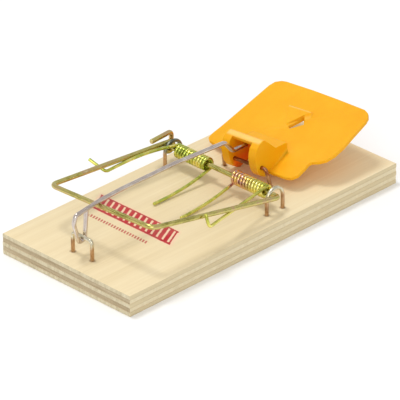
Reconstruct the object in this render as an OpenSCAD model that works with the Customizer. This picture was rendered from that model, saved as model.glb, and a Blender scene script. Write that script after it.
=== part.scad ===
// Spring-driven snap trap for mice, shown set: plywood base, wire hammer,
// two torsion springs, lock bar held by the catch of a plastic trigger pedal.
// Millimetres. Origin: centre of the base underside. +X towards the pedal end,
// +Z up. The hammer frame and the trigger lean a little about X, as built.

/* [Base] */
// Length of the plywood base, along X
base_length = 95; // [94:1:98]
// Width of the plywood base, along Y
base_width = 45; // [44:1:48]
// Thickness of the plywood base, all five plies
base_thickness = 5.8; // [5.6:0.1:5.8]

/* [Wire] */
// Diameter of the hammer and axle wire
hammer_wire = 1.3; // [1.15:0.05:1.3]
// Diameter of the lock bar wire
lock_wire = 1.15; // [1:0.05:1.15]
// Diameter of the staple wire
staple_wire = 1; // [0.8:0.1:1]
// Diameter of the torsion spring wire
spring_wire = 0.84; // [0.7:0.02:0.84]

/* [Springs] */
// Full turns in each torsion spring, besides the part turn between the legs
spring_turns = 11; // [9:1:11]
// Mean radius of the spring coils
coil_radius = 1.34; // [1.34:0.02:1.4]

/* [Trigger] */
// Thickness of the pedal plate
plate_thickness = 0.9; // [0.8:0.05:0.9]
// Width of the trigger housing over its two cheeks
housing_width = 12; // [11.6:0.1:12]
// Gap between the two cheeks, where the lock bar tip sits
catch_gap = 7; // [6.6:0.1:7.2]

/* [Hidden] */
$fn = 48;
e = 0.01;
L = base_length;
W = base_width;
T = base_thickness;
ply = T / 5;
rh = hammer_wire / 2;
rl = lock_wire / 2;
rs = staple_wire / 2;
rw = spring_wire / 2;

// axle of the hammer and both coils
ax = 7.5;
az = 10.4;
// crossbar ends, right (-Y) then left (+Y)
cb_x = -35.6;
cb_r = [cb_x, -18.3, 18.3];
cb_l = [cb_x, 17.3, 16.7];
// hammer arm lines at the axle
arm_r = -19.6;
arm_l = 19.25;
// lock bar hinge: the crown of its staple
lx = -41.6;
lz = 11.2;
// trigger hinge: the crown of its staple
px = 15.2;
pz = 10.2;
roll = 4.6;
tilt = 19.8;
// depth of the staple points above the underside
tip_z = 1.5;

WOOD = [0.90, 0.82, 0.66];
WOOD2 = [0.80, 0.69, 0.50];
ZINC = [0.72, 0.68, 0.36];
STEEL = [0.62, 0.58, 0.60];
COPPER = [0.72, 0.50, 0.34];
PLASTIC = [0.98, 0.70, 0.16];

function unit(v) = v / norm(v);
function perp(d) = unit(cross(d, abs(d[2]) > 0.9 ? [0, 1, 0] : [0, 0, 1]));

// round bar from a to b
module rod(a, b, r) {
    d = unit(b - a);
    x = perp(d);
    y = cross(d, x);
    multmatrix([[x[0], y[0], d[0], a[0]],
                [x[1], y[1], d[1], a[1]],
                [x[2], y[2], d[2], a[2]],
                [0, 0, 0, 1]])
        cylinder(r = r, h = norm(b - a));
}

// bend of radius br at p, from direction u to direction v; a hair thicker
// than the straight parts, which run a short way into it
lap = 0.08;
swell = 0.012;
function turn(u, v) = acos(max(-1, min(1, u * v)));
function trim(u, v, br) = br * tan(turn(u, v) / 2);
module bend(p, u, v, br, r) {
    n = unit(v - (u * v) * u);
    c = p - u * trim(u, v, br) + n * br;
    x = -n;
    z = cross(x, u);
    multmatrix([[x[0], u[0], z[0], c[0]],
                [x[1], u[1], z[1], c[1]],
                [x[2], u[2], z[2], c[2]],
                [0, 0, 0, 1]])
        rotate_extrude(angle = turn(u, v)) translate([br, 0]) circle(r = r + swell);
}

// bent wire through the points p, with bend radii br[i] at the inner points
module wire(p, br, r) {
    n = len(p);
    d = [for (i = [0:n - 2]) unit(p[i + 1] - p[i])];
    for (i = [0:n - 2]) {
        a = i == 0 ? p[0] : p[i] + d[i] * (trim(d[i - 1], d[i], br[i - 1]) - lap);
        b = i == n - 2 ? p[n - 1] : p[i + 1] - d[i] * (trim(d[i], d[i + 1], br[i]) - lap);
        rod(a, b, r);
    }
    for (i = [1:n - 2]) bend(p[i], d[i - 1], d[i], br[i - 1], r);
}

// round wire swept along a list of points, as a faceted tube
module tube(p, r, n = 8) {
    m = len(p);
    pts = [for (i = [0:m - 1])
        let (t = unit(p[min(i + 1, m - 1)] - p[max(i - 1, 0)]),
             a = unit(cross(t, [0, 1, 0])), b = cross(a, t))
        for (k = [0:n - 1]) p[i] + r * (cos(360 * k / n) * a + sin(360 * k / n) * b)];
    side = [for (i = [0:m - 2]) for (k = [0:n - 1]) for (h = [0, 1])
        let (q = (k + 1) % n)
        h == 0 ? [i * n + k, i * n + q, (i + 1) * n + q]
               : [i * n + k, (i + 1) * n + q, (i + 1) * n + k]];
    first = [[for (k = [n - 1:-1:0]) k]];
    last = [[for (k = [0:n - 1]) (m - 1) * n + k]];
    polyhedron(points = pts, faces = concat(first, side, last), convexity = 10);
}

// staple feet, each as [foot point, direction down the leg]
axle_feet = [4.65, 10.35];
lock_feet = [-3.4, 3.4];
pedal_top = [[px, -7.5, pz + 7.5 * tan(roll)], [px, 7.5, pz - 7.5 * tan(roll)]];
pedal_foot = [[px + 1.05, -8.1, T], [px + 1.05, 8.1, T]];
function down(a, b) = b + (b - a) * ((b[2] - tip_z) / (a[2] - b[2]));

module leg_holes() {
    for (y = [-18, 18]) for (x = axle_feet)
        translate([x, y, tip_z]) cylinder(r = rs, h = T);
    for (y = lock_feet) translate([lx, y, tip_z]) cylinder(r = rs, h = T);
    for (i = [0, 1]) rod(down(pedal_top[i], pedal_foot[i]), pedal_top[i], rs);
}

module ply_sheet(i) {
    difference() {
        translate([-L / 2, -W / 2, i * ply]) cube([L, W, ply]);
        leg_holes();
    }
}

module ply_bottom_face() { color(WOOD) ply_sheet(0); }
module ply_lower_cross() { color(WOOD2) ply_sheet(1); }
module ply_core() { color(WOOD) ply_sheet(2); }
module ply_upper_cross() { color(WOOD2) ply_sheet(3); }
module ply_top_face() { color(WOOD) ply_sheet(4); }

// one bent wire: eye round the axle, left arm, crossbar, right arm, axle, hook
module hammer() {
    re = 2 * rh + 0.06;
    eye = [ax, arm_l, az];
    // tangent from the crossbar corner to the top of the eye
    v = [cb_l[0] - ax, cb_l[2] - az];
    a0 = atan2(v[1], v[0]) - acos(re / norm(v));
    t0 = eye + re * [cos(a0), 0, sin(a0)];
    into = lap * unit(t0 - cb_l);
    color(ZINC) {
        wire([t0 + into, cb_l, cb_r, [ax, arm_r, az], [ax, 20.7, az], [9.7, 20.7, az],
              [9.7, 20.7, 13.4], [2.5, 20.7, 13.0]], [2, 2, 1.2, 1, 1, 1], rh);
        // eye, turning from the arm over the axle and back under it
        translate(eye) rotate([90, 0, 0]) rotate([0, 0, a0 - 300])
            rotate_extrude(angle = 300) translate([re, 0]) circle(r = rh + swell);
    }
}

// torsion spring, right hand side; the left one is its mirror image
function spring_path(y0, y1, tip, out, hook) =
    let (up = atan2(az - coil_radius - tip[2], ax - tip[0]),
         g = atan2(out[2] - (az + coil_radius), ax - out[0]),
         a0 = up - 90, a1 = 90 - g + 360 * spring_turns, n = spring_turns * 12 + 6)
    concat([tip, tip + [1, 0.02, 0.1] * 0.6],
           [for (i = [1:3]) let (q = [ax + coil_radius * cos(a0), y0, az + coil_radius * sin(a0)])
               tip + (q - tip) * i / 4],
           [for (i = [0:n]) let (a = a0 + (a1 - a0) * i / n, w = i / n)
               [ax + coil_radius * cos(a), y0 + (y1 - y0) * w, az + coil_radius * sin(a)]],
           [for (i = [1:3]) let (q = [ax + coil_radius * cos(a1), y1, az + coil_radius * sin(a1)])
               q + (out - q) * i / 4],
           [out], hook);

module spring_right() {
    color(ZINC) tube(spring_path(-4, -15.2, [-12, -4.4, T + rw + 0.15],
        [-17.6, -20.7, 12.75],
        [[-18.4, -20.9, 13.05], [-18.8, -20.9, 13.6], [-19.0, -20.7, 14.6],
         [-19.0, -20.4, 15.5], [-18.9, -20.0, 16.3]]), rw);
}

module spring_left() {
    color(ZINC) tube(spring_path(5.2, 16.2, [-11.6, 5.6, T + rw + 0.15],
        [-15.2, 18.13, 12.57],
        [[-15.57, 18.2, 12.61], [-15.88, 18.33, 12.70], [-16.12, 18.53, 12.85],
         [-16.3, 18.79, 13.04], [-18.0, 22.1, 15.45]]), rw);
}

module axle_staple(y) {
    c = 9.6;
    color(COPPER) {
        for (x = axle_feet) translate([x, y, tip_z]) cylinder(r = rs, h = c - tip_z);
        translate([ax, y, c]) rotate([90, 0, 0])
            rotate_extrude(angle = 180) translate([2.85, 0]) circle(r = rs);
    }
}
module axle_staple_right() { axle_staple(-18); }
module axle_staple_left() { axle_staple(18); }

module lock_bar_staple() {
    color(COPPER) wire([[lx, -3.4, tip_z], [lx, -3.4, lz], [lx, 3.4, lz], [lx, 3.4, tip_z]],
        [1, 1], rs);
}

// bent wire: eye round its staple crown, bar over the hammer, catch tip
module lock_bar() {
    q = rl + rs + 0.05;
    y = 0;
    // tangents of the eye sides
    color(STEEL) wire([[-38.8, y + 1.35, 17.6], [-40.1, y + 0.7, lz - 1.3], [-42.6, y + 0.1, lz - 1.3],
        [-44.4, y, 15.6], [-43.7, y, 17.8], [-35.6, y, 18.85], [-28, y, 19.2], [-10, y, 19.2],
        [8.0, y, 18.35], [10.9, y, 15.0], [16.1, y, 14.85]],
        [q, q, 1.6, 1.0, 20, 30, 30, 2, 1.5], rl);
}

module pedal_staple() {
    color(COPPER) wire([down(pedal_top[0], pedal_foot[0]), pedal_top[0], pedal_top[1],
        down(pedal_top[1], pedal_foot[1])], [1, 1], rs);
}

// plate outline in the pedal's own plane, hinge at x = 0
plate_pts = [[1.6, -6.1], [1.6, -11.9], [2.1, -13.4], [3.5, -14.4], [6.2, -14.4], [8.2, -14.2],
    [8.9, -14.7], [9.6, -16.2], [10.9, -17.7], [13.4, -18.6], [16.7, -18.8], [20.9, -18.4],
    [26.6, -18], [28.2, -17.5], [29.5, -16.4], [30.2, -14.7], [30.6, -5.1], [30.8, 3.7],
    [30.7, 13.3], [30.4, 14.8], [29.4, 16.3], [27.7, 16.9], [20.2, 17.6], [10.4, 18.4],
    [6.7, 18.9], [5.2, 18.7], [4.4, 17.7], [3.2, 6.3]];

module housing_side() {
    polygon([[-0.4, -2.7], [-1.3, -1.6], [-1.6, -0.2], [-1.5, 1.4], [-1.1, 3.0], [-0.4, 4.4],
        [0.6, 5.5], [1.9, 6.1], [3.4, 6.2], [4.0, 5.9], [6.3, 1.5], [6.8, 1.3], [9.6, 0.3],
        [10.1, 0.0], [9.8, -0.8], [9.3, -3.0], [0.6, -3.5]]);
}

module trigger_pedal() {
    hw = housing_width;
    zt = -2.6;
    color(PLASTIC)
    translate([px, 0, pz]) rotate([-roll, 0, 0]) rotate([0, -tilt, 0])
    difference() {
        union() {
            translate([0, 0, zt - plate_thickness]) linear_extrude(plate_thickness) polygon(plate_pts);
            translate([0, hw / 2, 0]) rotate([90, 0, 0]) linear_extrude(hw) housing_side();
            // bait flap, standing over its slot
            polyhedron(points = [[17.7, 1.7, zt + 0.3], [21.6, -1.45, zt + 1.0], [23.2, -2.25, zt + 0.85],
                    [23.4, 5.9, zt + 0.35], [17.2, 1.0, zt - 0.3], [21.3, -1.0, zt - 0.3], [19.6, -2.8, zt - 0.3],
                    [21.7, -3.4, zt - 0.3], [24.0, -2.4, zt - 0.3], [24.2, 6.1, zt - 0.3], [17.6, 2.3, zt - 0.3]],
                faces = [[0, 2, 1], [0, 3, 2], [0, 1, 5], [0, 5, 4], [5, 1, 6], [6, 1, 7], [7, 1, 2],
                    [7, 2, 8], [8, 2, 9], [9, 2, 3], [9, 3, 10], [10, 3, 0], [10, 0, 4],
                    [4, 5, 6, 7, 8, 9, 10]]);
        }
        // catch window, open to the front and below
        translate([0, catch_gap / 2, 0]) rotate([90, 0, 0]) linear_extrude(catch_gap)
            polygon([[-4, -6], [-4, 5.3], [1.5, 5.27], [2.2, 5.02], [2.9, 4.67], [3.5, 4.27], [5.1, 1.6], [5.1, -6]]);
        // crossbar underside runs forward over the tip
        translate([-4, -catch_gap / 2, 3]) cube([5.9, catch_gap, 4.5]);
        // hinge hole
        translate([0, 20, 0]) rotate([90, 0, 0]) cylinder(r = rs + 0.06, h = 40);
        // bait slot
        translate([0, 0, zt - 3]) linear_extrude(3.0)
            polygon([[16.6, -0.2], [19.35, -2.8], [21.3, -1.05], [17.15, 0.9]]);
    }
}

ply_bottom_face();
ply_lower_cross();
ply_core();
ply_upper_cross();
ply_top_face();
hammer();
spring_right();
spring_left();
axle_staple_right();
axle_staple_left();
lock_bar_staple();
lock_bar();
pedal_staple();
trigger_pedal();
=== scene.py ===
import bpy, bmesh, math
import numpy as np
from mathutils import Vector, Matrix


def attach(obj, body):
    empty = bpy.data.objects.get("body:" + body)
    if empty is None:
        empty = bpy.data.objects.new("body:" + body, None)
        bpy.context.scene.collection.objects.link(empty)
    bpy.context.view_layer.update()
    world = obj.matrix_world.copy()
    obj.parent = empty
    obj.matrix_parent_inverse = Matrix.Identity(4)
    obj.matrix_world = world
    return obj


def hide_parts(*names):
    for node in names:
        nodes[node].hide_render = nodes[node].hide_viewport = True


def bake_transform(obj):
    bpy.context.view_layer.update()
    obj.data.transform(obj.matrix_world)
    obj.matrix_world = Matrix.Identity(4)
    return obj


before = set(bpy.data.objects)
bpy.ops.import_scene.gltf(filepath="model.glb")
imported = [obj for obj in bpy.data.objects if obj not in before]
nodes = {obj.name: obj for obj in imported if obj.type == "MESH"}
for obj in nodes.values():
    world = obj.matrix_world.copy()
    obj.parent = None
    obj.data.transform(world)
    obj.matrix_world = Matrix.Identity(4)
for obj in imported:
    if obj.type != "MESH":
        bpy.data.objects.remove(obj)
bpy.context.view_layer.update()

MM = 0.001


# ---------------------------------------------------------------- small maths
def V(*p):
    return np.array(p, float)


def unit(v):
    return v / np.linalg.norm(v)


def fillet(points, radii, step=9.0):
    """polyline with round corners, in millimetres"""
    P = [np.array(p, float) for p in points]
    out = [P[0]]
    for i in range(1, len(P) - 1):
        u, v = unit(P[i] - P[i - 1]), unit(P[i + 1] - P[i])
        th = math.acos(max(-1, min(1, float(u @ v))))
        r = radii[i - 1]
        if th < 1e-3 or r <= 0:
            out.append(P[i])
            continue
        t = r * math.tan(th / 2)
        n = unit(v - (u @ v) * u)
        c = P[i] - u * t + n * r
        k = max(2, int(math.ceil(math.degrees(th) / step)))
        for j in range(k + 1):
            a = th * j / k
            out.append(c - n * r * math.cos(a) + u * r * math.sin(a))
    out.append(P[-1])
    return out


def resample(pts, longest):
    out = [pts[0]]
    for a, b in zip(pts[:-1], pts[1:]):
        d = np.linalg.norm(b - a)
        if d < 1e-4:
            continue
        k = max(1, int(math.ceil(d / longest)))
        out += [a + (b - a) * j / k for j in range(1, k + 1)]
    return out


def smooth_noise(s, seed, scale):
    """cheap deterministic wander, about -1..1"""
    r = np.random.RandomState(seed)
    f = r.uniform(0.6, 1.8, 5) / scale
    p = r.uniform(0, 6.28, 5)
    return sum(np.sin(s * f[i] * 6.28 + p[i]) for i in range(5)) / 3.2


def link(name, me):
    o = bpy.data.objects.new(name, me)
    bpy.context.scene.collection.objects.link(o)
    return o


def tube(name, pts, r, n=16, longest=1.2, wander=0.012, seed=1, ends=("cut", "cut")):
    """drawn wire swept along pts (mm): cut ends with a rolled rim, and a UV map with the length along it in mm"""
    p = np.array(resample([np.array(q, float) for q in pts], longest))
    m = len(p)
    t = np.gradient(p, axis=0)
    t /= np.linalg.norm(t, axis=1)[:, None]
    s = np.concatenate([[0], np.cumsum(np.linalg.norm(np.diff(p, axis=0), axis=1))])
    a = np.cross(t[0], V(0, 0, 1) if abs(t[0][2]) < 0.9 else V(0, 1, 0))
    a /= np.linalg.norm(a)
    frames = []
    for i in range(m):
        a = a - (a @ t[i]) * t[i]
        a /= np.linalg.norm(a)
        frames.append((a.copy(), np.cross(t[i], a)))
    rings = []
    rim = [(0.0, 0.62), (0.04, 0.86), (0.16, 0.97), (0.34, 1.0)]
    for q, k in rim:
        rings.append((p[0] + t[0] * q * r, frames[0], k * r, q * r))
    for i in range(1, m - 1):
        rings.append((p[i], frames[i], r * (1 + wander * float(smooth_noise(s[i], seed, 6.0))), s[i]))
    for q, k in reversed(rim):
        rings.append((p[-1] - t[-1] * q * r, frames[-1], k * r, s[-1] - q * r))
    rings = [x for j, x in enumerate(rings) if j < 4 or j >= len(rings) - 4 or (x[3] > 0.36 * r and x[3] < s[-1] - 0.36 * r)]
    bm = bmesh.new()
    uvl = bm.loops.layers.uv.new("UVMap")
    rows = []
    for c, (fa, fb), rad, _ in rings:
        rows.append([bm.verts.new(Vector(tuple((c + rad * (math.cos(6.28318 * k / n) * fa + math.sin(6.28318 * k / n) * fb)) * MM))) for k in range(n)])
    for i in range(len(rows) - 1):
        for k in range(n):
            q = (k + 1) % n
            f = bm.faces.new((rows[i][k], rows[i][q], rows[i + 1][q], rows[i + 1][k]))
            f.smooth = True
            for lo, (u, v) in zip(f.loops, ((rings[i][3], k), (rings[i][3], k + 1), (rings[i + 1][3], k + 1), (rings[i + 1][3], k))):
                lo[uvl].uv = (u, v / n)
    for row, c, flip in ((rows[0], p[0] - 0.02 * r * t[0], True), (rows[-1], p[-1] + 0.02 * r * t[-1], False)):
        cv = bm.verts.new(Vector(tuple(c * MM)))
        for k in range(n):
            q = (k + 1) % n
            f = bm.faces.new((row[q], row[k], cv) if flip else (row[k], row[q], cv))
            f.smooth = True
    bm.normal_update()
    me = bpy.data.meshes.new(name)
    bm.to_mesh(me)
    bm.free()
    return link(name, me)


# ---------------------------------------------------------------- materials
def srgb(r, g, b):
    f = lambda c: c / 12.92 if c <= 0.04045 else ((c + 0.055) / 1.055) ** 2.4
    return tuple(f(c / 255) for c in (r, g, b))


def new_mat(name):
    m = bpy.data.materials.new(name)
    m.use_nodes = True
    nt = m.node_tree
    nt.nodes.clear()
    out = nt.nodes.new("ShaderNodeOutputMaterial")
    b = nt.nodes.new("ShaderNodeBsdfPrincipled")
    nt.links.new(b.outputs[0], out.inputs[0])
    return m, nt, b


def coords(nt, scale=(1, 1, 1), loc=(0, 0, 0), rot=(0, 0, 0), kind="Object"):
    tc = nt.nodes.new("ShaderNodeTexCoord")
    mp = nt.nodes.new("ShaderNodeMapping")
    mp.inputs["Scale"].default_value = scale
    mp.inputs["Location"].default_value = loc
    mp.inputs["Rotation"].default_value = rot
    nt.links.new(tc.outputs[kind], mp.inputs[0])
    return mp.outputs[0]


def noise(nt, vec, scale, detail=3.0, rough=0.5, dist=0.0):
    n = nt.nodes.new("ShaderNodeTexNoise")
    n.inputs["Scale"].default_value = scale
    n.inputs["Detail"].default_value = detail
    n.inputs["Roughness"].default_value = rough
    n.inputs["Distortion"].default_value = dist
    nt.links.new(vec, n.inputs["Vector"])
    return n.outputs[0]


def ramp(nt, stops, fac, interp="LINEAR"):
    r = nt.nodes.new("ShaderNodeValToRGB")
    r.color_ramp.interpolation = interp
    e = r.color_ramp.elements
    while len(e) < len(stops):
        e.new(0.5)
    for el, (p, c) in zip(e, stops):
        el.position = p
        el.color = (*c, 1) if len(c) == 3 else c
    nt.links.new(fac, r.inputs[0])
    return r.outputs[0]


def grey(v):
    return (v, v, v)


def maths(nt, op, a, b=None, c=None, clamp=False):
    n = nt.nodes.new("ShaderNodeMath")
    n.operation = op
    n.use_clamp = clamp
    for i, x in enumerate((a, b, c)):
        if x is None:
            continue
        if isinstance(x, (int, float)):
            n.inputs[i].default_value = x
        else:
            nt.links.new(x, n.inputs[i])
    return n.outputs[0]


def mapr(nt, v, a, b, c, d, smooth=False):
    n = nt.nodes.new("ShaderNodeMapRange")
    if smooth:
        n.interpolation_type = "SMOOTHSTEP"
    for i, x in enumerate((a, b, c, d)):
        n.inputs[i + 1].default_value = x
    nt.links.new(v, n.inputs[0])
    return n.outputs[0]


def mixc(nt, fac, a, b, blend="MIX"):
    n = nt.nodes.new("ShaderNodeMix")
    n.data_type = "RGBA"
    n.blend_type = blend
    n.clamp_factor = True
    for sock, x in ((n.inputs[0], fac), (n.inputs[6], a), (n.inputs[7], b)):
        if isinstance(x, (int, float)):
            sock.default_value = x
        elif isinstance(x, tuple):
            sock.default_value = (*x, 1)
        else:
            nt.links.new(x, sock)
    return n.outputs[2]


def bump(nt, b, height, strength, distance):
    n = nt.nodes.new("ShaderNodeBump")
    n.inputs["Strength"].default_value = strength
    n.inputs["Distance"].default_value = distance
    nt.links.new(height, n.inputs["Height"])
    nt.links.new(n.outputs[0], b.inputs["Normal"])


def axis(nt, vec, i):
    n = nt.nodes.new("ShaderNodeSeparateXYZ")
    nt.links.new(vec, n.inputs[0])
    return n.outputs[i]


def wire_mat(name, tints, rough=(0.2, 0.42), spots=260.0, mix=0.35, high=None):
    """drawn wire: tint patches, drawing lines along the length and a worn gloss; high = colour nearer the top"""
    m, nt, b = new_mat(name)
    obj = coords(nt)
    uv = coords(nt, (0.22, 9.0, 1.0), kind="UV")
    lines = noise(nt, uv, 2.2, 5.0, 0.6)
    patch = noise(nt, obj, spots, 4.0, 0.55, 0.4)
    f = maths(nt, "ADD", maths(nt, "MULTIPLY", lines, mix), maths(nt, "MULTIPLY", patch, 1 - mix))
    col = ramp(nt, tints, mapr(nt, f, 0.34, 0.66, 0.0, 1.0))
    if high:
        z0, z1, tints2 = high
        z = maths(nt, "ADD", axis(nt, obj, 2), maths(nt, "MULTIPLY", maths(nt, "SUBTRACT", patch, 0.5), 0.004))
        col = mixc(nt, mapr(nt, z, z0, z1, 0.0, 1.0, True), col, ramp(nt, tints2, mapr(nt, f, 0.34, 0.66, 0.0, 1.0)))
    nt.links.new(col, b.inputs["Base Color"])
    b.inputs["Metallic"].default_value = 1.0
    nt.links.new(mapr(nt, lines, 0.3, 0.7, rough[0], rough[1]), b.inputs["Roughness"])
    bump(nt, b, maths(nt, "ADD", lines, maths(nt, "MULTIPLY", noise(nt, obj, 2600.0, 2.0), 0.5)), 0.18, 0.00003)
    return m


def zinc_mat():
    return wire_mat("zinc_yellow", [(0.0, srgb(132, 124, 66)), (0.3, srgb(180, 170, 92)), (0.52, srgb(208, 198, 122)),
                                    (0.74, srgb(200, 162, 124)), (1.0, srgb(236, 228, 170))], (0.16, 0.34), 150.0, 0.42)


def spring_mat(name, pink):
    """yellow passivated wire; on the near spring the inner coils have gone pink and gold"""
    t = [(0.0, srgb(150, 150, 66)), (0.25, srgb(196, 198, 88)), (0.5, srgb(226, 220, 112)),
         (0.75, srgb(238, 228, 124)), (1.0, srgb(250, 246, 190))]
    if not pink:
        t[1], t[2] = (0.25, srgb(178, 192, 86)), (0.5, srgb(208, 214, 108))
    m = wire_mat(name, t, (0.12, 0.28), 330.0, 0.3)
    if pink:
        nt = m.node_tree
        b = next(n for n in nt.nodes if n.type == "BSDF_PRINCIPLED")
        old = b.inputs["Base Color"].links[0].from_socket
        obj = coords(nt)
        tint = ramp(nt, [(0.0, srgb(150, 92, 104)), (0.35, srgb(216, 158, 158)), (0.6, srgb(236, 190, 112)), (1.0, srgb(242, 224, 150))],
                    mapr(nt, noise(nt, obj, 520.0, 3.0), 0.34, 0.66, 0.0, 1.0))
        k = maths(nt, "MULTIPLY", mapr(nt, axis(nt, obj, 1), -0.0125, -0.0075, 0.0, 0.9, True), mapr(nt, axis(nt, obj, 0), 0.0045, 0.0058, 0.0, 1.0))
        nt.links.new(mixc(nt, k, old, tint), b.inputs["Base Color"])
    return m


def steel_mat():
    return wire_mat("steel_bright", [(0.0, srgb(156, 142, 138)), (0.35, srgb(194, 180, 174)), (0.65, srgb(212, 200, 190)),
                                     (1.0, srgb(242, 236, 230))], (0.12, 0.3), 120.0, 0.5)


def copper_mat(name, z0, z1, top):
    return wire_mat(name, [(0.0, srgb(138, 104, 74)), (0.35, srgb(184, 146, 110)), (0.7, srgb(206, 170, 134)),
                           (1.0, srgb(228, 200, 170))], (0.2, 0.4), 420.0, 0.45, (z0, z1, top))


pedal_at = Matrix.Translation(Vector((15.2, 0, 10.2)) * MM) @ Matrix.Rotation(math.radians(-4.6), 4, "X") @ Matrix.Rotation(math.radians(-19.8), 4, "Y")


def plastic_mat():
    m, nt, b = new_mat("moulded_yellow")
    obj = coords(nt)
    big = noise(nt, obj, 70.0, 3.0, 0.55)
    flow = noise(nt, coords(nt, (40, 220, 220), rot=(0, 0.3, 0)), 1.0, 4.0, 0.6, 0.6)
    f = maths(nt, "ADD", maths(nt, "MULTIPLY", big, 0.6), maths(nt, "MULTIPLY", flow, 0.4))
    col = ramp(nt, [(0.0, (0.88, 0.400, 0.002)), (0.5, (0.90, 0.428, 0.004)), (1.0, (0.92, 0.458, 0.009))],
               mapr(nt, f, 0.36, 0.64, 0.0, 1.0))
    # painted light: the colour inside the catch window is deepened to a red-orange, standing in for light that has come
    # through the moulding
    x, y, z = [maths(nt, "MULTIPLY", axis(nt, obj, i), 1000.0) for i in range(3)]
    painted_glow_mask = maths(nt, "MULTIPLY", mapr(nt, maths(nt, "ABSOLUTE", y), 3.45, 3.65, 1.0, 0.0), mapr(nt, x, 13.6, 15.6, 0.0, 1.0, True))
    back = maths(nt, "ADD", x, maths(nt, "MULTIPLY", maths(nt, "SUBTRACT", z, 13.6), 1.13))
    painted_glow_mask = maths(nt, "MULTIPLY", painted_glow_mask, maths(nt, "MULTIPLY", mapr(nt, back, 19.5, 20.2, 1.0, 0.0, True), mapr(nt, z, 15.3, 15.9, 1.0, 0.0, True)))
    col = mixc(nt, maths(nt, "MULTIPLY", painted_glow_mask, 0.9), col, (1.0, 0.16, 0.004))

    # painted highlight: paler colour along the catch crossbar and the crest of the bait flap, where the gloss catches
    # the top light
    def paint_highlight_band(col, a, c, r0, r1, amount):
        a, c = pedal_at @ (Vector(a) * MM), pedal_at @ (Vector(c) * MM)
        d = (c - a).normalized()
        sub = nt.nodes.new("ShaderNodeVectorMath")
        sub.operation = "SUBTRACT"
        nt.links.new(obj, sub.inputs[0])
        sub.inputs[1].default_value = a
        cr = nt.nodes.new("ShaderNodeVectorMath")
        cr.operation = "CROSS_PRODUCT"
        nt.links.new(sub.outputs[0], cr.inputs[0])
        cr.inputs[1].default_value = d
        ln = nt.nodes.new("ShaderNodeVectorMath")
        ln.operation = "LENGTH"
        nt.links.new(cr.outputs[0], ln.inputs[0])
        dt = nt.nodes.new("ShaderNodeVectorMath")
        dt.operation = "DOT_PRODUCT"
        nt.links.new(sub.outputs[0], dt.inputs[0])
        dt.inputs[1].default_value = d
        n = (c - a).length
        k = maths(nt, "MULTIPLY", mapr(nt, ln.outputs["Value"], r0 * MM, r1 * MM, 1.0, 0.0, True),
                  maths(nt, "MULTIPLY", mapr(nt, dt.outputs["Value"], -0.0004, 0.0002, 0.0, 1.0, True), mapr(nt, dt.outputs["Value"], n - 0.0002, n + 0.0004, 1.0, 0.0, True)))
        return mixc(nt, maths(nt, "MULTIPLY", k, amount), col, (0.97, 0.66, 0.20))

    col = paint_highlight_band(col, (2.9, -5.6, 6.1), (2.9, 5.6, 6.1), 0.35, 1.25, 0.75)
    col = paint_highlight_band(col, (23.25, -2.2, -1.75), (23.45, 5.7, -2.25), 0.1, 0.6, 0.5)
    nt.links.new(col, b.inputs["Base Color"])
    fine = noise(nt, obj, 3200.0, 3.0, 0.6)
    nt.links.new(mapr(nt, maths(nt, "ADD", maths(nt, "MULTIPLY", fine, 0.4), maths(nt, "MULTIPLY", flow, 0.6)), 0.3, 0.7, 0.36, 0.5), b.inputs["Roughness"])
    b.inputs["Subsurface Weight"].default_value = 0.18
    b.inputs["Subsurface Radius"].default_value = (1.0, 0.35, 0.06)
    b.inputs["Subsurface Scale"].default_value = 0.0012
    b.inputs["Specular IOR Level"].default_value = 0.22
    bump(nt, b, fine, 0.08, 0.00004)
    return m


PLY = 1.16
FEET = [(4.65, -18), (10.35, -18), (4.65, 18), (10.35, 18), (-41.6, -3.4), (-41.6, 3.4), (16.25, -8.1), (16.25, 8.1)]


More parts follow.
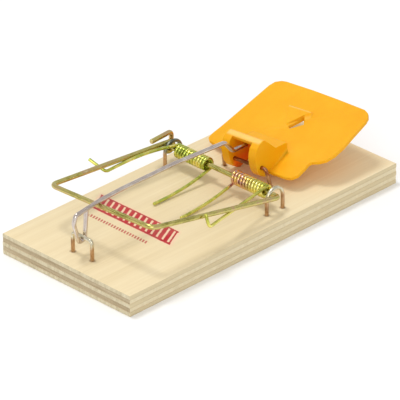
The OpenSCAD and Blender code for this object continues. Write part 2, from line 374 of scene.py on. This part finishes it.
def wood_mat(name, cross, printed=False):
    """veneer: long grain on its faces, end grain and rolling shear marks on its edges; the top sheet carries a plain red print"""
    m, nt, b = new_mat(name)
    obj = coords(nt)
    along, over = ((7.0, 420.0, 420.0), (420.0, 7.0, 420.0))
    if cross:
        along, over = over, along
    warp = noise(nt, obj, 24.0, 2.0)
    grain = noise(nt, coords(nt, along), 1.0, 6.0, 0.62, 1.2)
    fine = noise(nt, coords(nt, tuple(q * 3.6 for q in along)), 1.0, 3.0, 0.6)
    cloud = noise(nt, coords(nt, (22, 60, 60) if not cross else (60, 22, 60)), 1.0, 3.0, 0.5, 0.5)
    f = maths(nt, "ADD", maths(nt, "MULTIPLY", grain, 0.42), maths(nt, "ADD", maths(nt, "MULTIPLY", fine, 0.2), maths(nt, "MULTIPLY", cloud, 0.38)))
    face = ramp(nt, [(0.0, srgb(226, 205, 160)), (0.3, srgb(233, 213, 171)), (0.6, srgb(237, 218, 177)), (1.0, srgb(243, 227, 190))],
                mapr(nt, f, 0.34, 0.66, 0.0, 1.0))
    geo = nt.nodes.new("ShaderNodeNewGeometry")
    nx = maths(nt, "ABSOLUTE", axis(nt, geo.outputs["True Normal"], 0))
    ny = maths(nt, "ABSOLUTE", axis(nt, geo.outputs["True Normal"], 1))
    # edges: end grain is pale and speckled, side grain darker and streaked
    speck = noise(nt, obj, 2200.0, 4.0, 0.7)
    vert = noise(nt, coords(nt, (900, 900, 160)), 1.0, 3.0, 0.6)
    streak = noise(nt, coords(nt, (60, 60, 1500)), 1.0, 4.0, 0.65)
    endc = ramp(nt, [(0.0, srgb(186, 172, 138)), (0.45, srgb(210, 197, 163)), (1.0, srgb(226, 215, 186))],
                mapr(nt, maths(nt, "ADD", maths(nt, "MULTIPLY", speck, 0.5), maths(nt, "MULTIPLY", vert, 0.5)), 0.32, 0.68, 0.0, 1.0))
    sidec = ramp(nt, [(0.0, srgb(158, 138, 106)), (0.45, srgb(184, 165, 132)), (1.0, srgb(204, 188, 156))],
                 mapr(nt, maths(nt, "ADD", maths(nt, "MULTIPLY", streak, 0.7), maths(nt, "MULTIPLY", speck, 0.3)), 0.32, 0.68, 0.0, 1.0))
    a_end = sidec if cross else endc
    # painted light: the long ±Y faces are mixed toward a pale cream so they read lighter than the ±X end faces
    long_faces_painted_paler = mixc(nt, 0.5, endc, srgb(240, 224, 186)) if cross else mixc(nt, 0.62, sidec, srgb(230, 214, 172))
    col = mixc(nt, mapr(nt, nx, 0.6, 0.8, 0.0, 1.0), face, a_end)
    col = mixc(nt, mapr(nt, ny, 0.6, 0.8, 0.0, 1.0), col, long_faces_painted_paler)
    # glue line: each sheet darkens at its own top and bottom edge
    zz = maths(nt, "MULTIPLY", axis(nt, obj, 2), 1000.0 / PLY)
    pp = maths(nt, "PINGPONG", zz, 0.5)
    gl = mapr(nt, maths(nt, "ADD", pp, maths(nt, "MULTIPLY", maths(nt, "SUBTRACT", streak, 0.5), 0.08)), 0.0, 0.11, 1.0, 0.0, True)
    gl = maths(nt, "MULTIPLY", gl, maths(nt, "MAXIMUM", mapr(nt, nx, 0.6, 0.8, 0.0, 0.5), mapr(nt, ny, 0.6, 0.8, 0.0, 0.34)))
    col = mixc(nt, gl, col, srgb(120, 88, 52))
    if printed:
        x = maths(nt, "MULTIPLY", axis(nt, obj, 0), 1000.0)
        y = maths(nt, "MULTIPLY", axis(nt, obj, 1), 1000.0)
        up = mapr(nt, axis(nt, geo.outputs["True Normal"], 2), 0.7, 0.9, 0.0, 1.0)
        ragged = maths(nt, "MULTIPLY", maths(nt, "SUBTRACT", noise(nt, obj, 1500.0, 3.0), 0.5), 0.3)

        def between(v, lo, hi, soft=0.08):
            v = maths(nt, "ADD", v, ragged)
            return maths(nt, "MULTIPLY", mapr(nt, v, lo - soft, lo + soft, 0.0, 1.0), mapr(nt, v, hi - soft, hi + soft, 1.0, 0.0))

        # slanted coordinate: the bars lean
        u = maths(nt, "SUBTRACT", y, maths(nt, "MULTIPLY", maths(nt, "ADD", x, 19.6), 0.49))
        span = between(u, -9.6, 17.6)
        row = between(x, -22.5, -16.8)
        w = maths(nt, "FRACT", maths(nt, "MULTIPLY", maths(nt, "ADD", u, 40.0), 1 / 1.96))
        bars = between(maths(nt, "MULTIPLY", w, 1.96), 0.25, 1.55)
        band = maths(nt, "MULTIPLY", maths(nt, "MULTIPLY", span, row), bars)
        lines = maths(nt, "MAXIMUM", between(x, -22.9, -22.1), between(x, -17.0, -16.5))
        band = maths(nt, "MAXIMUM", band, maths(nt, "MULTIPLY", lines, between(u, -9.8, 17.8)))
        t = maths(nt, "FRACT", maths(nt, "MULTIPLY", maths(nt, "ADD", maths(nt, "SUBTRACT", y, maths(nt, "MULTIPLY", x, 0.35)), 60.0), 1 / 0.92))
        dash = maths(nt, "MULTIPLY", maths(nt, "MULTIPLY", between(x, -26.5, -25.35), between(y, -6.7, 14.0)), between(maths(nt, "MULTIPLY", t, 0.92), 0.1, 0.62, 0.06))
        ink = maths(nt, "MAXIMUM", band, maths(nt, "MULTIPLY", dash, 0.85))
        ink = maths(nt, "MULTIPLY", ink, up)
        wear = mapr(nt, maths(nt, "ADD", maths(nt, "MULTIPLY", grain, 0.6), maths(nt, "MULTIPLY", speck, 0.4)), 0.34, 0.56, 0.86, 1.0)
        halo = maths(nt, "MULTIPLY", maths(nt, "MULTIPLY", between(u, -10.4, 18.4, 0.5), between(x, -23.3, -16.1, 0.4)), up)
        col = mixc(nt, maths(nt, "MULTIPLY", halo, 0.42), col, srgb(250, 196, 172))
        inkc = ramp(nt, [(0.0, srgb(150, 12, 26)), (0.55, srgb(190, 24, 40)), (1.0, srgb(214, 62, 70))], mapr(nt, speck, 0.3, 0.7, 0.0, 1.0))
        col = mixc(nt, maths(nt, "MULTIPLY", ink, wear), col, inkc)
        # painted shade: a dark ring on the board round each staple leg, where the leg enters the wood
        near = None
        pos = obj
        for fx, fy in FEET:
            d = nt.nodes.new("ShaderNodeVectorMath")
            d.operation = "DISTANCE"
            nt.links.new(pos, d.inputs[0])
            d.inputs[1].default_value = (fx * MM, fy * MM, 5.8 * MM)
            near = d.outputs["Value"] if near is None else maths(nt, "MINIMUM", near, d.outputs["Value"])
        near = maths(nt, "ADD", near, maths(nt, "MULTIPLY", maths(nt, "SUBTRACT", speck, 0.5), 0.0006))
        col = mixc(nt, mapr(nt, near, 0.0005, 0.0011, 0.6, 0.0, True), col, srgb(128, 92, 52))
    nt.links.new(col, b.inputs["Base Color"])
    nt.links.new(mapr(nt, grain, 0.3, 0.7, 0.52, 0.72), b.inputs["Roughness"])
    b.inputs["Specular IOR Level"].default_value = 0.3
    bump(nt, b, maths(nt, "ADD", maths(nt, "MULTIPLY", grain, 0.6), maths(nt, "MULTIPLY", fine, 0.6)), 0.22, 0.00012)
    return m


# ---------------------------------------------------------------- base board
def sheet(name, i, cross, printed):
    """one veneer: sawn outline with a slight wander, eased edge, the outer sheets more than the inner"""
    z0, z1 = i * PLY, (i + 1) * PLY
    L, W = 47.5, 22.5
    outline = []
    for (ax_, ay_), (bx_, by_) in (((-L, -W), (L, -W)), ((L, -W), (L, W)), ((L, W), (-L, W)), ((-L, W), (-L, -W))):
        k = int(max(abs(bx_ - ax_), abs(by_ - ay_)) / 1.25)
        for j in range(k):
            outline.append((ax_ + (bx_ - ax_) * j / k, ay_ + (by_ - ay_) * j / k))
    outline = np.array(outline)
    s = np.cumsum(np.linalg.norm(np.diff(outline, axis=0, append=outline[:1]), axis=1))
    base_in = 0.0 if i in (0, 2, 4) else 0.05
    wob = base_in + 0.045 * (1 + smooth_noise(s, 11 + i, 17.0)) * 0.5 + 0.02 * (1 + smooth_noise(s, 31 + i, 3.1)) * 0.5

    def ring(inset, z):
        q = outline.copy()
        sx, sy = np.sign(q[:, 0]), np.sign(q[:, 1])
        onx, ony = np.abs(q[:, 0]) > L - 1e-6, np.abs(q[:, 1]) > W - 1e-6
        q[:, 0] = np.where(onx, q[:, 0] - sx * (inset + wob), q[:, 0])
        q[:, 1] = np.where(ony, q[:, 1] - sy * (inset + wob), q[:, 1])
        return [(x, y, z) for x, y in q]

    top_e = 0.16 if i == 4 else 0.05
    bot_e = 0.12 if i == 0 else 0.05
    rings = [ring(bot_e, z0), ring(bot_e * 0.3, z0 + bot_e * 0.35), ring(0, z0 + bot_e), ring(0, z1 - top_e), ring(top_e * 0.3, z1 - top_e * 0.35), ring(top_e, z1)]
    bm = bmesh.new()
    rows = [[bm.verts.new(Vector(p) * MM) for p in r] for r in rings]
    n = len(rows[0])
    for a, c in zip(rows[:-1], rows[1:]):
        for k in range(n):
            q = (k + 1) % n
            bm.faces.new((a[k], a[q], c[q], c[k]))
    bm.faces.new(rows[-1])
    bm.faces.new(list(reversed(rows[0])))
    bmesh.ops.triangulate(bm, faces=[f for f in bm.faces if len(f.verts) > 4])
    bm.normal_update()
    me = bpy.data.meshes.new(name)
    bm.to_mesh(me)
    bm.free()
    me.shade_smooth()
    me.set_sharp_from_angle(angle=math.radians(30))
    o = link(name, me)
    o.data.materials.append(wood_mat("veneer_" + name, cross, printed))
    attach(o, "base")
    return o


for i, n in enumerate(("ply_bottom_face", "ply_lower_cross", "ply_core", "ply_upper_cross", "ply_top_face")):
    cross = i in (1, 3)
    o = sheet("sheet_" + n[4:], i, cross, i == 4)
    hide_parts(n)

# ---------------------------------------------------------------- wires
AX, AZ = 7.5, 10.4
SEG = 20


def finish(o, body, node_name, mat, blend=None):
    o.data.materials.append(mat)
    if blend:
        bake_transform(o)
    else:
        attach(o, body)
    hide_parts(node_name)
    return o


def hammer():
    rh = 0.65
    re = 2 * rh + 0.06
    eye = V(AX, 19.25, AZ)
    cb_l, cb_r = V(-35.6, 17.3, 16.7), V(-35.6, -18.3, 18.3)
    vx, vz = cb_l[0] - AX, cb_l[2] - AZ
    a0 = math.atan2(vz, vx) - math.acos(re / math.hypot(vx, vz))
    arc = []
    for j in range(0, 61):
        a = a0 - math.radians(300) * (1 - j / 60)
        arc.append(eye + re * V(math.cos(a), 0, math.sin(a)))
    t0 = arc[-1]
    body = fillet([t0, cb_l, cb_r, V(AX, -19.6, AZ), V(AX, 20.7, AZ), V(9.7, 20.7, AZ), V(9.7, 20.7, 13.4), V(2.5, 20.7, 13.0)],
                  [2, 2, 1.2, 1, 1.0, 1.0])
    o = tube("hammer_wire", arc[:-1] + body, rh, SEG + 4, 1.0, 0.004, 3)
    return finish(o, "hammer", "hammer", zinc_mat())


hammer()


def spring_path(y0, y1, tip, out, hook, bow=0.0, turns=11, cr=1.5):
    per = 32
    tip, out = V(*tip), V(*out)
    up = math.atan2(AZ - cr - tip[2], AX - tip[0])
    g = math.atan2(out[2] - (AZ + cr), AX - out[0])
    a0, a1 = up - math.pi / 2, math.pi / 2 - g + 2 * math.pi * turns
    coil = []
    n = turns * per + per // 2
    for i in range(n + 1):
        w = i / n
        a = a0 + (a1 - a0) * w
        coil.append(V(AX + cr * math.cos(a), y0 + (y1 - y0) * w, AZ + cr * math.sin(a)))
    q = coil[0]
    lead = [tip, tip + V(1, 0.02, 0.1) * 0.6]
    # the board leg bows a little between its tip and the coil
    for i in range(1, 12):
        w = i / 12
        lead.append(V(tip[0] + (q[0] - tip[0]) * w, tip[1] + (q[1] - tip[1]) * w, tip[2] + (q[2] - tip[2]) * w ** 2.3))
    q = coil[-1]
    tail = [q + (out - q) * i / 12 + V(0, 0, bow) * math.sin(math.pi * i / 12) for i in range(1, 12)]
    return lead + coil + tail + [out] + [V(*h) for h in hook]


right = spring_path(-4, -15.2, (-12, -4.4, 6.37), (-17.6, -20.7, 12.75),
                    [(-18.05, -20.82, 12.88), (-18.4, -20.9, 13.05), (-18.66, -20.93, 13.3), (-18.8, -20.9, 13.6), (-18.93, -20.82, 14.1),
                     (-19.0, -20.7, 14.6), (-19.0, -20.4, 15.5), (-18.9, -20.0, 16.3)])
left = spring_path(5.2, 16.2, (-11.6, 5.6, 6.37), (-15.2, 18.13, 12.57),
                   [(-15.38, 18.155, 12.58), (-15.57, 18.2, 12.61), (-15.73, 18.26, 12.65), (-15.88, 18.33, 12.70), (-16.01, 18.42, 12.77),
                    (-16.12, 18.53, 12.85), (-16.21, 18.65, 12.94), (-16.3, 18.79, 13.04), (-18.0, 22.1, 15.45)], 0.9)
o = tube("torsion_spring_near", right, 0.42, 12, 1.2, 0.0, 5)
finish(o, "hammer", "spring_right", spring_mat("spring_pink_gold", True), ((AX, -4.6, AZ), (AX, -15.2, AZ)))
o = tube("torsion_spring_far", left, 0.42, 12, 1.2, 0.0, 6)
finish(o, "hammer", "spring_left", spring_mat("spring_green_gold", False), ((AX, 5.8, AZ), (AX, 16.2, AZ)))


def staples():
    # each staple's top takes its own tint; on the near axle staple and the lock-bar staple the pale top is a painted
    # highlight on the crown
    bright = [(0.0, srgb(150, 140, 110)), (0.4, srgb(206, 198, 170)), (0.7, srgb(226, 220, 196)), (1.0, srgb(244, 240, 226))]
    dull = [(0.0, srgb(70, 72, 64)), (0.4, srgb(112, 116, 104)), (0.7, srgb(146, 148, 134)), (1.0, srgb(190, 190, 176))]
    dark = [(0.0, srgb(96, 52, 34)), (0.4, srgb(138, 84, 54)), (0.7, srgb(170, 112, 78)), (1.0, srgb(214, 168, 130))]
    for y, n, w in ((-18, "axle_staple_right", "near"), (17.92, "axle_staple_left", "far")):
        pts = [V(4.65, y, 1.5), V(4.65, y, 5.0), V(4.65, y, 9.6)]
        pts += [V(AX - 2.85 * math.cos(math.pi * k / 20), y, 9.6 + 2.85 * math.sin(math.pi * k / 20)) for k in range(1, 21)]
        pts += [V(10.35, y, 5.0), V(10.35, y, 1.5)]
        o = tube("staple_axle_" + w, pts, 0.5, SEG, 0.8, 0.0, 7)
        finish(o, "base", n, copper_mat("copper_" + w, 0.0098, 0.0116, bright if w == "near" else dull))
    pts = fillet([(-41.6, -3.4, 1.5), (-41.6, -3.4, 11.2), (-41.6, 3.4, 11.2), (-41.6, 3.4, 1.5)], [1, 1])
    o = tube("staple_lock_bar", pts, 0.5, SEG, 0.8, 0.02, 8)
    finish(o, "base", "lock_bar_staple", copper_mat("copper_lock", 0.0085, 0.0105, bright))
    k = math.tan(math.radians(4.6))
    top = [V(15.2, -7.5, 10.2 + 7.5 * k), V(15.2, 7.5, 10.2 - 7.5 * k)]
    foot = [V(16.25, -8.1, 5.8), V(16.25, 8.1, 5.8)]
    down = [b + (b - a) * ((b[2] - 1.5) / (a[2] - b[2])) for a, b in zip(top, foot)]
    pts = fillet([down[0], top[0], top[1], down[1]], [1, 1])
    o = tube("staple_pedal", pts, 0.5, SEG, 0.8, 0.02, 9)
    finish(o, "base", "pedal_staple", copper_mat("copper_pedal", 0.009, 0.0098, dark))


staples()


def lock_bar():
    q = 1.125
    pts = fillet([(-38.8, 1.35, 17.6), (-40.1, 0.7, 9.9), (-42.6, 0.1, 9.9), (-44.4, 0, 15.6), (-43.7, 0, 17.8), (-35.6, 0, 18.85),
                  (-28, 0, 19.2), (-10, 0, 19.2), (8.0, 0, 18.35), (10.9, 0, 15.0), (16.1, 0, 14.85)],
                 [q, q, 1.6, 1.0, 20, 30, 30, 2, 1.5])
    o = tube("lock_bar_wire", pts, 0.575, SEG, 1.0, 0.012, 12)
    finish(o, "lock_bar", "lock_bar", steel_mat())


lock_bar()


# ---------------------------------------------------------------- pedal
def pedal():
    """the moulding, with eased edges: taken into its own plane, its sharp edges bevelled, and smoothed"""
    src = nodes["trigger_pedal"]
    me = src.data.copy()
    me.name = "pedal_moulding"
    o = link("pedal_moulding", me)
    roll, tilt = math.radians(4.6), math.radians(19.8)
    place = Matrix.Translation(Vector((15.2, 0, 10.2)) * MM) @ Matrix.Rotation(-roll, 4, "X") @ Matrix.Rotation(-tilt, 4, "Y")
    me.transform(place.inverted())
    bm = bmesh.new()
    bm.from_mesh(me)
    bmesh.ops.remove_doubles(bm, verts=bm.verts, dist=1e-7)
    bm.to_mesh(me)
    bm.free()
    me.materials.clear()
    bm = bmesh.new()
    bm.from_mesh(me)
    bmesh.ops.dissolve_limit(bm, angle_limit=math.radians(1.0), verts=bm.verts[:], edges=bm.edges[:])

    def small(v):
        return min(e.calc_length() for e in v.link_edges) < 0.0005 or math.hypot(v.co.x, v.co.z) < 0.0008

    sharp = [e for e in bm.edges if len(e.link_faces) == 2 and e.calc_face_angle(0) > math.radians(22)
             and not any(small(v) for v in e.verts)]
    bmesh.ops.bevel(bm, geom=sharp, offset=0.00026, offset_type="OFFSET", segments=3, profile=0.5, affect="EDGES", clamp_overlap=True)
    bmesh.ops.triangulate(bm, faces=[f for f in bm.faces if len(f.verts) > 4], quad_method="BEAUTY", ngon_method="EAR_CLIP")
    bm.to_mesh(me)
    bm.free()
    done2 = me
    done2.transform(place)
    done2.shade_smooth()
    done2.set_sharp_from_angle(angle=math.radians(40))
    done2.materials.clear()
    wn = o.modifiers.new("even", "WEIGHTED_NORMAL")
    wn.keep_sharp = True
    wn.weight = 90
    o.data.materials.append(plastic_mat())
    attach(o, "pedal")
    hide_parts("trigger_pedal")


pedal()


# ---------------------------------------------------------------- camera
def look():
    a, e, r = math.radians(-45.056), math.radians(28.684), math.radians(0.332)
    right = Vector((math.cos(a), math.sin(a), 0))
    back = Vector((math.sin(a) * math.cos(e), -math.cos(a) * math.cos(e), math.sin(e)))
    up = back.cross(right)
    r2 = math.cos(r) * right - math.sin(r) * up
    u2 = math.sin(r) * right + math.cos(r) * up
    loc = r2 * (-0.593 * MM) + u2 * (4.492 * MM) + back * (1102.018 * MM)
    m = Matrix((( r2.x, u2.x, back.x, loc.x), (r2.y, u2.y, back.y, loc.y), (r2.z, u2.z, back.z, loc.z), (0, 0, 0, 1)))
    cam = bpy.data.cameras.new("camera")
    cam.sensor_width = 36
    cam.lens = 4381.469 / 400 * 36
    cam.clip_start = 0.05
    cam.clip_end = 20
    o = bpy.data.objects.new("camera", cam)
    o.matrix_world = m
    bpy.context.scene.collection.objects.link(o)
    bpy.context.scene.camera = o


look()


# ---------------------------------------------------------------- stage and light
def stage():
    bpy.ops.mesh.primitive_plane_add(size=4)
    fl = bpy.context.object
    fl.name = "floor"
    m, nt, b = new_mat("floor_white")
    b.inputs["Base Color"].default_value = (0.98, 0.98, 0.98, 1)
    b.inputs["Roughness"].default_value = 0.9
    b.inputs["Specular IOR Level"].default_value = 0.1
    fl.data.materials.append(m)
    w = bpy.data.worlds.new("studio")
    bpy.context.scene.world = w
    w.use_nodes = True
    w.node_tree.nodes["Background"].inputs[0].default_value = (1, 1, 1, 1)
    w.node_tree.nodes["Background"].inputs[1].default_value = 0.68

    def area(name, loc, size, power, at=(0, 0, 0.005)):
        l = bpy.data.lights.new(name, "AREA")
        l.shape = "DISK"
        l.size = size
        l.energy = power
        o = bpy.data.objects.new(name, l)
        o.location = loc
        d = Vector(at) - Vector(loc)
        o.rotation_euler = d.to_track_quat("-Z", "Y").to_euler()
        bpy.context.scene.collection.objects.link(o)
    area("key", (-0.05, 0.25, 0.9), 0.25, 3.0)
    area("fill", (-0.7, -0.6, 0.5), 0.6, 2.4)


stage()
bpy.context.scene.view_settings.view_transform = "Standard"
